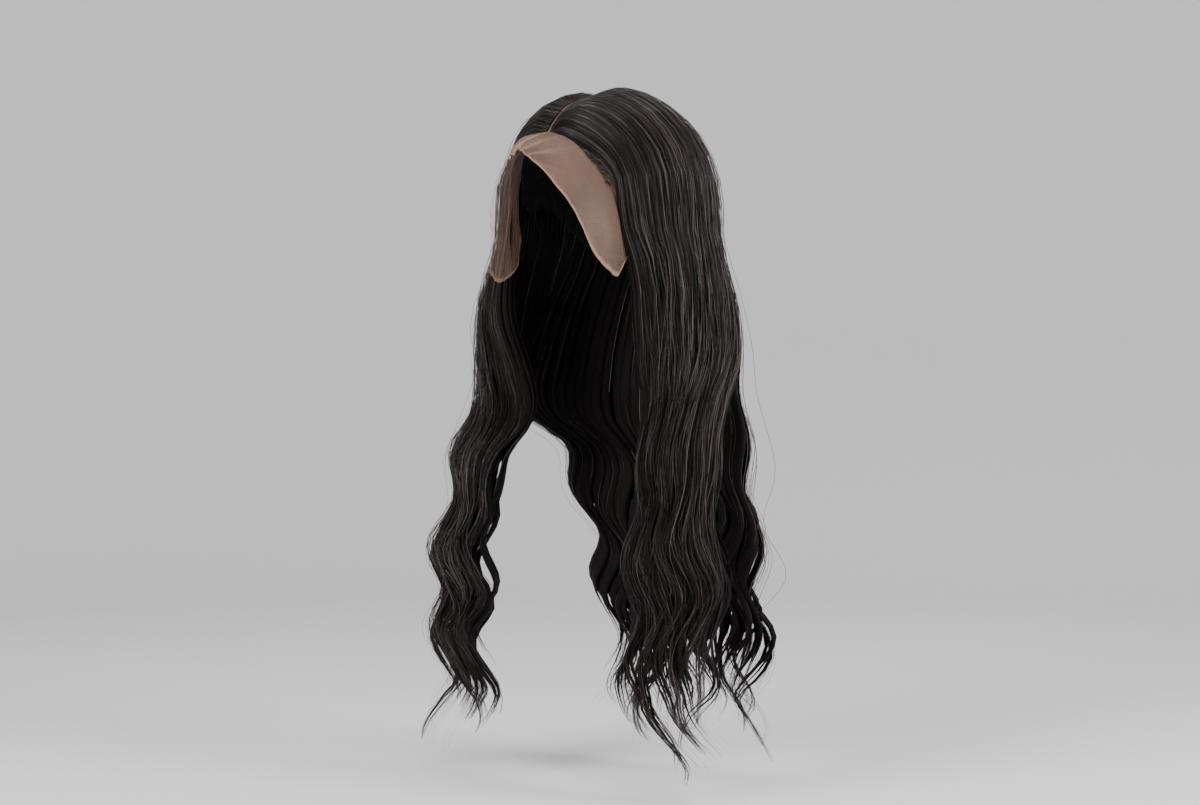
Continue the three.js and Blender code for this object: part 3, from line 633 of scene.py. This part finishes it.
def lock_guides(fall, layers, seed):
    """A guide for each lock of a fall: its path, and how far its hair spreads sideways and outwards.
    Locks lie in tresses, which draw together and part from each other towards their tips."""
    dice = np.random.default_rng(seed)
    steps = DOME_STEPS + HANGING_STEPS + WAVE_STEPS + 1
    along = np.clip((np.arange(steps) - DOME_STEPS) / (HANGING_STEPS + WAVE_STEPS), 0, 1)
    fallen = smooth(along / FREE_BY)
    lock_lag = LAG_LOCK - LAG_LOCK_LESS * rise(along, *LAG_LESS_FROM)
    parts = []
    for tresses, locks, depth, half_depth in layers:
        tress = np.repeat(np.arange(tresses), locks)
        count = len(tress)
        loose = rise(depth, *LOOSE_FROM)
        middle = (tress + 0.5 + loose * dice.uniform(-0.2, 0.2, tresses)[tress]) / tresses
        beside = np.tile(np.arange(locks), tresses) + 0.5 + dice.uniform(-0.25, 0.25, count)
        beside = (beside / locks - 0.5)[:, None]
        drawn = 1 + 0.1 * smooth(along / 0.3) - 0.2 * loose * rise(along, 0.3, 0.4)
        drawn = drawn - DRAWN_SHARE * rise(along, *DRAWN_FROM)
        drift = lerp(DRIFT_INNER, DRIFT_OUTER, loose) * ripple(dice, middle, along, 4, 1.4) * fallen
        crossing = dice.normal(0, CROSSING_SPREAD * loose, (tresses, 1))[tress]
        drift = drift + crossing * np.sin(math.pi * np.clip(along / FREE_BY, 0, 1)) ** 2
        drift = drift + dice.normal(0, LOCK_SPREAD, (count, 1)) * fallen
        across = middle[:, None] + beside / tresses * drawn + drift
        across = np.clip(across, FALL_MARGIN, 1 - FALL_MARGIN)
        crown = 1.5 * half_depth * (1 - 8 * beside**2) * fallen
        depths = depth + crown + 0.5 * half_depth * ripple(dice, middle, along, 6, 1.2) * fallen
        own = dice.normal(0, 1, (tresses, 1))[tress]
        lag = LAG_TRESS * own + LAG_RIPPLE * ripple(dice, middle, along, 3, 0.5)
        lag = (lag + beside * lock_lag) * fallen
        gain = 1 + GAIN_RIPPLE * ripple(dice, middle, along, 3, 1)
        gain = gain + dice.normal(0, GAIN_SPREAD, (count, 1))
        reach = dice.uniform(*TRESS_REACH, tresses)[tress] - dice.uniform(0, LOCK_SHORTER, count)
        reach = reach[:, None] - INNER_SHORTER * (1 - loose)
        rest = (lag + 0 * along, gain + 0 * along, reach + 0 * along)
        low, high = np.clip(across - SIDE_STEP, 0, 1), np.clip(across + SIDE_STEP, 0, 1)
        wide = hair_path(fall, high, depths, *rest) - hair_path(fall, low, depths, *rest)
        width = LOCK_OVERLAP * dice.uniform(*LOCK_WIDTHS, (count, 1)) * np.maximum(drawn, DRAWN_LEAST)
        thin = fall["wispy"] * smooth(1 - middle[:, None] / WISPY_SIDE) * rise(along, *WISPY_FROM)
        width = width * (1 - thin)
        wide *= (width / (2 * count) / (high - low))[..., None]
        deep = hair_path(fall, across, depths + DEPTH_STEP, *rest)
        deep = deep - hair_path(fall, across, depths - DEPTH_STEP, *rest)
        parts.append((hair_path(fall, across, depths, *rest), wide, deep / (2 * DEPTH_STEP) * half_depth))
    return [np.concatenate(same) for same in zip(*parts)]


def guide_object(name, paths, sides, outs, seed):
    """The guides as a mesh of loose edges, with the spread on its points."""
    count, steps = paths.shape[:2]
    start = np.arange(count * steps).reshape(count, steps)
    edges = np.stack([start[:, :-1].ravel(), start[:, 1:].ravel()], axis=-1)
    mesh = bpy.data.meshes.new(name)
    mesh.from_pydata(paths.reshape(-1, 3), edges.tolist(), [])
    for label, values in (("spread_side", sides), ("spread_out", outs)):
        made = mesh.attributes.new(label, "FLOAT_VECTOR", "POINT")
        made.data.foreach_set("vector", values.astype(np.float32).ravel())
    shade = np.random.default_rng(seed).uniform(0, 1, (count, 1)) + np.zeros(steps)
    mesh.attributes.new("lock", "FLOAT", "POINT").data.foreach_set("value", shade.astype(np.float32).ravel())
    return placed(name, mesh)


def new_tree(name, sockets):
    """A geometry tree with a geometry in and out and named inputs."""
    tree = bpy.data.node_groups.new(name, "GeometryNodeTree")
    tree.interface.new_socket("Geometry", in_out="INPUT", socket_type="NodeSocketGeometry")
    for label, kind in sockets:
        tree.interface.new_socket(label, in_out="INPUT", socket_type="NodeSocket" + kind)
    tree.interface.new_socket("Geometry", in_out="OUTPUT", socket_type="NodeSocketGeometry")
    return tree, tree.nodes.new("NodeGroupInput"), tree.nodes.new("NodeGroupOutput")


def sums(tree):
    """Short ways to write the sums of a tree: each takes sockets or numbers and gives a socket."""
    def times(first, *others):
        for other in others:
            first = calc(tree, "MULTIPLY", first, other)
        return first

    def scaled(vector, by):
        node = add(tree, "ShaderNodeVectorMath", {"Vector": vector, "Scale": by}, operation="SCALE")
        return node.outputs["Vector"]

    def plus(a, b):
        return add(tree, "ShaderNodeVectorMath", {0: a, 1: b}, operation="ADD").outputs["Vector"]

    def between(value, start, end, low, high):
        return ramp(tree, value, start, end, low, high, interpolation_type="SMOOTHSTEP")

    return times, scaled, plus, between


def attribute(tree, name, kind="FLOAT_VECTOR"):
    """A named attribute of the geometry."""
    return add(tree, "GeometryNodeInputNamedAttribute", {"Name": name}, data_type=kind).outputs["Attribute"]


def kept(tree, geometry, name, value, kind="FLOAT_VECTOR"):
    """The geometry with a value kept on its points as a named attribute."""
    inputs = {"Geometry": geometry, "Name": name, "Value": value}
    node = add(tree, "GeometryNodeStoreNamedAttribute", inputs, data_type=kind, domain="POINT")
    return node.outputs["Geometry"]


def plain_faces(tree, mesh, material, output):
    """Ends a tree in plain smooth faces of one material."""
    plain = add(tree, "GeometryNodeRealizeInstances", {"Geometry": mesh}).outputs["Geometry"]
    soft = add(tree, "GeometryNodeSetShadeSmooth", {"Geometry": plain}).outputs["Geometry"]
    painted = add(tree, "GeometryNodeSetMaterial", {"Geometry": soft, "Material": material})
    fill(tree, output, {"Geometry": painted.outputs["Geometry"]})


GATHER_FROM = 0.55
FEW_STRAY, FEW_SHORT = 6.0, 2.0
WOBBLE_APART, WOBBLE_RATE = 97.0, 6.0
FRIZZ_BY, FRIZZ_AT_ROOT = 0.4, 0.05
STREAK_WIDTH, STREAK_LOCK, STREAK_LENGTH = 1.7, 90.0, 8.0
TAPER_FROM, TAPER_TIP = 0.75, 0.3
TAPER_ROOT, TAPER_ROOT_BY = 0.5, 0.06
STRAND_VARIES = (0.6, 1.3)


def strand_tree():
    """Grows single strands round each guide: they fill its width, twist, and gather towards the tip."""
    tree, given, output = new_tree("grow_strands", [
        ("Strands per lock", "Int"), ("Strand width", "Float"), ("Tip gather", "Float"),
        ("Stray", "Float"), ("Frizz", "Float"), ("Twist", "Float"), ("Ragged", "Float"),
        ("Seed", "Int"), ("Material", "Material"),
    ])
    times, scaled, plus, between = sums(tree)
    wanted = given.outputs
    guides = add(tree, "GeometryNodeMeshToCurve", {"Mesh": wanted["Geometry"]}).outputs["Curve"]
    copies = add(tree, "GeometryNodeDuplicateElements", {
        "Geometry": guides, "Amount": wanted["Strands per lock"],
    }, domain="SPLINE")
    index = add(tree, "GeometryNodeInputIndex").outputs["Index"]
    own = add(tree, "GeometryNodeFieldOnDomain", {"Value": index}, domain="CURVE", data_type="INT")
    along = add(tree, "GeometryNodeSplineParameter").outputs["Factor"]
    lock = attribute(tree, "lock", "FLOAT")

    def chance(low, high, salt):
        seed = calc(tree, "ADD", wanted["Seed"], salt)
        return add(tree, "FunctionNodeRandomValue", {
            "Min_001": low, "Max_001": high, "ID": own.outputs["Value"], "Seed": seed,
        }, data_type="FLOAT").outputs[1]

    # Each strand has its own place in the lock, u sideways and v outwards, and turns with the lock's twist.
    u, v = chance(-1.0, 1.0, 11), chance(-1.0, 1.0, 23)
    turn = times(calc(tree, "SUBTRACT", lock, 0.5), wanted["Twist"], along)
    cosine, sine = calc(tree, "COSINE", turn), calc(tree, "SINE", turn)
    sideways = calc(tree, "SUBTRACT", times(u, cosine), times(v, sine))
    outwards = calc(tree, "ADD", times(u, sine), times(v, cosine))
    gather = between(along, GATHER_FROM, 1.0, 1.0, wanted["Tip gather"])
    loose = times(calc(tree, "POWER", chance(0.0, 1.0, 37), FEW_STRAY), wanted["Stray"])
    spread = times(gather, calc(tree, "ADD", 1.0, times(loose, along)))
    side = scaled(attribute(tree, "spread_side"), times(sideways, spread))
    out = scaled(attribute(tree, "spread_out"), times(outwards, spread))
    where = {"X": times(chance(0.0, 1.0, 41), WOBBLE_APART), "Y": along}
    where = add(tree, "ShaderNodeCombineXYZ", where).outputs["Vector"]
    noise = {"Vector": where, "Scale": WOBBLE_RATE, "Detail": 1.0}
    noise = add(tree, "ShaderNodeTexNoise", noise, noise_dimensions="2D")
    wobble = plus(noise.outputs["Color"], (-0.5, -0.5, -0.5))
    grown = times(between(along, 0.0, FRIZZ_BY, FRIZZ_AT_ROOT, 1.0), wanted["Frizz"])
    offset = plus(plus(side, out), scaled(wobble, grown))
    moved = add(tree, "GeometryNodeSetPosition", {"Geometry": copies.outputs["Geometry"], "Offset": offset})
    short = times(calc(tree, "POWER", chance(0.0, 1.0, 53), FEW_SHORT), wanted["Ragged"])
    cut = add(tree, "GeometryNodeTrimCurve", {
        "Curve": moved.outputs["Geometry"], "End": calc(tree, "SUBTRACT", 1.0, short),
    })
    tinted = kept(tree, cut.outputs["Curve"], "tint", chance(0.0, 1.0, 67), "FLOAT")
    streak = add(tree, "ShaderNodeCombineXYZ", {
        "X": calc(tree, "ADD", times(u, STREAK_WIDTH), times(lock, STREAK_LOCK)),
        "Y": times(v, STREAK_WIDTH), "Z": times(along, STREAK_LENGTH),
    })
    measured = kept(tree, tinted, "fibre", streak.outputs["Vector"])
    tip = between(along, TAPER_FROM, 1.0, 1.0, TAPER_TIP)
    taper = times(tip, between(along, 0.0, TAPER_ROOT_BY, TAPER_ROOT, 1.0))
    radius = times(wanted["Strand width"], 0.5, chance(*STRAND_VARIES, 79), taper)
    triangle = add(tree, "GeometryNodeCurvePrimitiveCircle", {"Resolution": 3, "Radius": 1.0})
    tubes = add(tree, "GeometryNodeCurveToMesh", {
        "Curve": measured, "Profile Curve": triangle.outputs["Curve"], "Scale": radius, "Fill Caps": True,
    })
    plain_faces(tree, tubes.outputs["Mesh"], wanted["Material"], output)
    return tree


HEART_TAPER_FROM = 0.8
HEART_ROUND, HEART_LENGTH, HEART_LOCK = 9.0, 5.0, 40.0


def lock_tree():
    """Makes the solid heart of each lock: a soft oval that fills the guide's width and runs to a point."""
    tree, given, output = new_tree("fill_locks", [
        ("Sides", "Int"), ("Fullness", "Float"), ("Tip", "Float"), ("Material", "Material"),
    ])
    times, scaled, plus, between = sums(tree)
    wanted = given.outputs
    guides = add(tree, "GeometryNodeMeshToCurve", {"Mesh": wanted["Geometry"]}).outputs["Curve"]
    along = add(tree, "GeometryNodeSplineParameter").outputs["Factor"]
    position = add(tree, "GeometryNodeInputPosition").outputs["Position"]
    ring = add(tree, "GeometryNodeCurvePrimitiveCircle", {"Resolution": wanted["Sides"], "Radius": 1.0})
    shaped = kept(tree, ring.outputs["Curve"], "round", position)
    measured = kept(tree, kept(tree, guides, "centre", position), "along", along, "FLOAT")
    tubes = add(tree, "GeometryNodeCurveToMesh", {
        "Curve": measured, "Profile Curve": shaped, "Scale": 0.001, "Fill Caps": True,
    })
    here = attribute(tree, "along", "FLOAT")
    full = times(between(here, HEART_TAPER_FROM, 1.0, 1.0, wanted["Tip"]), wanted["Fullness"])
    corner = add(tree, "ShaderNodeSeparateXYZ", {"Vector": attribute(tree, "round")}).outputs
    across = scaled(attribute(tree, "spread_side"), times(corner["X"], full))
    out = scaled(attribute(tree, "spread_out"), times(corner["Y"], full))
    place = plus(attribute(tree, "centre"), plus(across, out))
    formed = add(tree, "GeometryNodeSetPosition", {"Geometry": tubes.outputs["Mesh"], "Position": place})
    shift = times(attribute(tree, "lock", "FLOAT"), HEART_LOCK)
    fibre = add(tree, "ShaderNodeCombineXYZ", {
        "X": times(corner["X"], HEART_ROUND), "Y": times(corner["Y"], HEART_ROUND),
        "Z": calc(tree, "ADD", times(here, HEART_LENGTH), shift),
    })
    marked = kept(tree, formed.outputs["Geometry"], "fibre", fibre.outputs["Vector"])
    plain_faces(tree, marked, wanted["Material"], output)
    return tree


def grow(name, guides, tree, values):
    """Runs a tree on guides and keeps the result as a plain mesh with its faces out."""
    source = guide_object(name + "_guides", *guides, seed=values.get("Seed", 1))
    modifier = source.modifiers.new("grow", "NODES")
    modifier.node_group = tree
    for item in tree.interface.items_tree:
        if item.in_out == "INPUT" and item.name in values:
            modifier[item.identifier] = values[item.name]
    evaluated = source.evaluated_get(bpy.context.evaluated_depsgraph_get())
    mesh = bpy.data.meshes.new_from_object(evaluated)
    bpy.data.objects.remove(source)
    for label in ("spread_side", "spread_out", "round", "centre"):
        if label in mesh.attributes:
            mesh.attributes.remove(mesh.attributes[label])
    mesh.name = name
    made = placed(name, mesh)
    shell = bmesh.new()
    shell.from_mesh(mesh)
    bmesh.ops.recalc_face_normals(shell, faces=shell.faces)
    shell.to_mesh(mesh)
    shell.free()
    return made


COOL_BLACK = (0.0007, 0.0006, 0.0006, 1)
WARM_BLACK = (0.009, 0.0042, 0.0036, 1)
FADED_AND_SHEEN_GREY = (0.115, 0.095, 0.088, 1)
FIBRE_ROUGHNESS = (0.5, 0.2)
DYE_EDGE, SHEEN_FADE_EDGE, GLOSS_EDGE = (0.42, 0.6), (0.58, 0.9), (0.35, 0.8)
TINT_SHARE = 0.25
MASS_DARK = (0.001, 0.0009, 0.0009, 1)
MASS_LIGHT = (0.009, 0.0068, 0.0062, 1)


def strand_fibre():
    """One synthetic fibre: nearly black, a little warmer or cooler from strand to strand, softly glossy,
    with some strands and streaks painted light grey as painted sheen.
    """
    material, tree, shader = new_material("strand_fibre")
    tint = add(tree, "ShaderNodeAttribute", attribute_name="tint").outputs["Fac"]
    place = add(tree, "ShaderNodeAttribute", attribute_name="fibre").outputs["Vector"]
    streak_sheen = add(tree, "ShaderNodeTexNoise", {"Vector": place, "Scale": 1.0, "Detail": 1.0}).outputs["Fac"]
    dyed = add(tree, "ShaderNodeTexNoise", {"Vector": place, "Scale": 0.3, "Detail": 0.0}).outputs["Fac"]
    dark = blended(tree, ramp(tree, dyed, *DYE_EDGE), COOL_BLACK, WARM_BLACK)
    # Where the shine is high the fibre is painted light grey: partly random fibre tone, partly painted
    # sheen; the glossier roughness follows the same shine.
    shine = calc(tree, "MULTIPLY_ADD", tint, TINT_SHARE, streak_sheen)
    faded_and_sheen = ramp(tree, shine, *SHEEN_FADE_EDGE, interpolation_type="SMOOTHSTEP")
    fill(tree, shader, {
        "Base Color": blended(tree, faded_and_sheen, dark, FADED_AND_SHEEN_GREY), "Specular IOR Level": 0.2,
        "Roughness": ramp(tree, shine, *GLOSS_EDGE, *FIBRE_ROUGHNESS),
    })
    return material


def lock_fibre():
    """Hair seen as a mass: fine streaks along the lock, in colour and in bump."""
    material, tree, shader = new_material("lock_fibre")
    ring = add(tree, "ShaderNodeAttribute", attribute_name="fibre").outputs["Vector"]
    streak = add(tree, "ShaderNodeTexNoise", {"Vector": ring, "Scale": 1.0, "Detail": 3.0}).outputs["Fac"]
    fill(tree, shader, {
        "Base Color": blended(tree, streak, MASS_DARK, MASS_LIGHT), "Roughness": 0.65,
        "Specular IOR Level": 0.08, "Normal": relief(tree, streak, strength=0.8, distance=0.0008),
    })
    return material


grow_strands = strand_tree()
fill_locks = lock_tree()
STRAND = strand_fibre()
LOCK = lock_fibre()
HEARTS = {"Sides": 6, "Fullness": 0.84, "Tip": 0.03, "Material": LOCK}
HAIR = {
    "Strand width": 0.0007, "Tip gather": 0.3, "Stray": 1.4, "Frizz": 0.0035, "Twist": 5.0,
    "Ragged": 0.15, "Seed": 3, "Material": STRAND,
}


def finish_hair(piece, *nodes):
    """Hair rides with the cap and stands for the plain solids that it covers."""
    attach(piece, "root")
    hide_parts(*nodes)


def hair_locks(name, guides, node):
    """The solid hearts of a fall's locks."""
    finish_hair(grow(name, guides, fill_locks, HEARTS), node)


def hair_strands(name, guides, count, node):
    """The single strands of a fall, so many to each lock."""
    finish_hair(grow(name, guides, grow_strands, {**HAIR, "Strands per lock": count}), node)


def joined(first, second):
    """The guides of two layers as one set."""
    return [np.concatenate(pair) for pair in zip(first, second)]


# Number of tresses, locks in each, depth in the fall, and half depth of a lock.
left_outer = lock_guides(LEFT_FALL, [(7, 5, 0.84, 0.1)], seed=5)
left_inner = lock_guides(LEFT_FALL, [(5, 3, 0.5, 0.22), (7, 3, 0.14, 0.12)], seed=6)
NEAR_LOCKS = 15
hair_locks("left_locks", joined(left_outer, left_inner), "hair_left")
hair_strands("left_strands_near", [values[:NEAR_LOCKS] for values in left_outer], 22, "hair_left")
hair_strands("left_strands_far", [values[NEAR_LOCKS:] for values in left_outer], 22, "hair_left")
hair_strands("left_strands_inner", left_inner, 5, "hair_left")


# The hair of the wearer's right side: the same fibre and length, swung a little wider over the shoulder.
# Its locks are looser than on the left, and its tips turn the other way.
RIGHT_SECTIONS = np.array([
    (0.16, 0.43, 1.05, 0.56, -1.03, 0.39, 0.72),
    (0.25, 0.45, 0.96, 0.64, -0.93, 0.48, 0.83),
    (0.34, 0.455, 0.95, 0.71, -0.79, 0.52, 0.94),
    (0.42, 0.39, 0.73, 0.82, -0.34, 0.43, 1),
    (0.5, 0.38, 0.72, 0.93, 0.1, 0.27, 1),
    (0.55, 0.48, 0.9, 0.93, 0.45, 0.19, 0.94),
    (0.61, 0.57, 1.07, 0.91, 0.62, 0.12, 0.89),
    (0.7, 0.58, 1.03, 0.96, 0.79, 0.12, 0.92),
    (0.82, 0.61, 1.03, 0.96, 0.79, 0.12, 0.86),
    (0.92, 0.58, 1, 0.93, 0.76, 0.11, 0.72),
    (1, 0.6, 0.93, 0.9, 0.76, 0.08, 0.44),
])
RIGHT_FALL = {
    "sections": RIGHT_SECTIONS, "side": -1, "spread": FRONT_SPREAD, "reach": CHEST_REACH, "back": False,
    "wave_start": 0.85, "wave_full": 0.7, "wave_late": 1, "wave_lag": 0.4, "swing": 1,
    "tip_lag": 0.4, "tip_turn": 1.6, "relax_from": 0.93, "tip_curl": 2.0, "wispy": 0.0,
}
right_outer = lock_guides(RIGHT_FALL, [(6, 5, 0.84, 0.1)], seed=15)
right_inner = lock_guides(RIGHT_FALL, [(4, 3, 0.5, 0.22), (6, 3, 0.14, 0.12)], seed=16)
hair_locks("right_locks", joined(right_outer, right_inner), "hair_right")
hair_strands("right_strands_outer", right_outer, 17, "hair_right")
hair_strands("right_strands_inner", right_inner, 5, "hair_right")


# The hair of the back: tied round the crown end of the parting and falling down behind the shoulders.
# Over the right shoulder it reaches forward to the right side's hair, and it thins out at its left tips.
BACK_SECTIONS = np.array([
    (0.16, 0.74, -0.6, -0.74, -0.6, 1, 0.83),
    (0.25, 0.78, -0.68, -0.85, -0.66, 0.95, 0.89),
    (0.34, 0.87, -0.72, -0.98, -0.55, 0.9, 0.94),
    (0.44, 0.87, -0.78, -1.07, -0.5, 0.79, 1),
    (0.49, 0.87, -0.84, -0.99, -0.62, 0.65, 1),
    (0.54, 0.88, -0.88, -0.77, -0.88, 0.51, 1),
    (0.66, 0.91, -0.94, -0.6, -0.93, 0.38, 0.97),
    (0.75, 0.93, -0.95, -0.46, -0.95, 0.32, 0.94),
    (0.85, 0.98, -0.96, -0.43, -0.97, 0.28, 0.86),
    (0.94, 0.95, -0.95, -0.41, -0.95, 0.26, 0.69),
    (1, 0.93, -0.92, -0.37, -0.93, 0.22, 0.44),
])
BACK_FALL = {
    "sections": BACK_SECTIONS, "side": 1, "spread": BACK_SPREAD, "reach": BACK_REACH, "back": True,
    "wave_start": 0.93, "wave_full": 0.75, "wave_late": 1, "wave_lag": 2 * math.pi, "swing": 1,
    "tip_lag": 2 * math.pi, "tip_turn": 0, "relax_from": 0.95, "tip_curl": 1.5, "wispy": 0.6,
}
back_outer = lock_guides(BACK_FALL, [(10, 5, 0.84, 0.1)], seed=25)
back_inner = lock_guides(BACK_FALL, [(6, 3, 0.5, 0.22), (10, 3, 0.14, 0.12)], seed=26)
hair_locks("back_locks", joined(back_outer, back_inner), "hair_back")
hair_strands("back_strands_outer", back_outer, 12, "hair_back")
hair_strands("back_strands_inner", back_inner, 4, "hair_back")


# The hairline: short hairs of uneven length, tied singly through the lace and swept back into the falls.
# They blur the edge of the hair over the lace, as in a real hairline.
ROOTS_A_SIDE = 420
ROOT_REACH = 0.01
ROOT_LIFT = 0.0014
ROOT_INWARD = 0.04
ROOT_STEPS = 3


def hairline_guides(seed):
    """One short guide for each hair: from the lace ahead of the hair's edge, back into the hair."""
    dice = np.random.default_rng(seed)
    centre = np.array([0, 0, -HEAD_HEIGHT])
    zero = np.zeros(ROOTS_A_SIDE)
    paths = []
    for side in (1, -1):
        angle = 1 + 75 * dice.uniform(0, 1, ROOTS_A_SIDE) ** 1.3
        ahead = ROOT_REACH * dice.uniform(0, 1, ROOTS_A_SIDE) ** 1.2
        run = dice.uniform(5, 11, ROOTS_A_SIDE)
        rows = []
        for step in range(ROOT_STEPS + 1):
            here = angle + run * step / ROOT_STEPS
            edge = over_head(zero, side, here, zero)
            inward = over_head(zero + ROOT_INWARD, side, here, zero) - edge
            inward = inward / np.linalg.norm(inward, axis=-1, keepdims=True)
            normal = (edge - centre) / np.linalg.norm(edge - centre, axis=-1, keepdims=True)
            shift = ahead * (1 - step / 2)
            lift = ROOT_LIFT * math.sin(math.pi * (0.12 + 0.7 * step / ROOT_STEPS))
            rows.append(edge - inward * shift[:, None] + normal * lift)
        paths.append(np.stack(rows, axis=1))
    paths = np.concatenate(paths)
    return paths, np.zeros_like(paths), np.zeros_like(paths)


BABY_HAIR = {
    **HAIR, "Strands per lock": 1, "Strand width": 0.0006, "Stray": 0.0, "Frizz": 0.001, "Ragged": 0.4,
}
roots = grow("hairline_roots", hairline_guides(seed=35), grow_strands, BABY_HAIR)
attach(roots, "root")


# Loose single hairs that have sprung out of the falls and stand a little off them all round.
# They are finer and more wayward than the rest: some cross over the locks, and a few stand well clear.
STRAY_LAYER = (1, 0.98, 0.1)


def stray_hairs(name, fall, tresses, seed, **values):
    """A sparse outer layer of fine hairs over one fall."""
    guides = lock_guides(fall, [(tresses, *STRAY_LAYER)], seed)
    piece = grow(name, guides, grow_strands, {**HAIR, "Tip gather": 1.0, **values})
    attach(piece, "root")


CROSSING = {"Strands per lock": 9, "Strand width": 0.0005, "Frizz": 0.008, "Stray": 1.0}
SPRUNG = {"Strands per lock": 4, "Strand width": 0.00035, "Frizz": 0.022, "Stray": 4.5}
stray_hairs("left_crossing", LEFT_FALL, 14, seed=51, **CROSSING)
stray_hairs("right_crossing", RIGHT_FALL, 9, seed=52, **CROSSING)
stray_hairs("back_crossing", BACK_FALL, 10, seed=53, **CROSSING)
stray_hairs("left_sprung", LEFT_FALL, 9, seed=41, **SPRUNG)
stray_hairs("right_sprung", RIGHT_FALL, 8, seed=42, **SPRUNG)
stray_hairs("back_sprung", BACK_FALL, 10, seed=43, **SPRUNG)
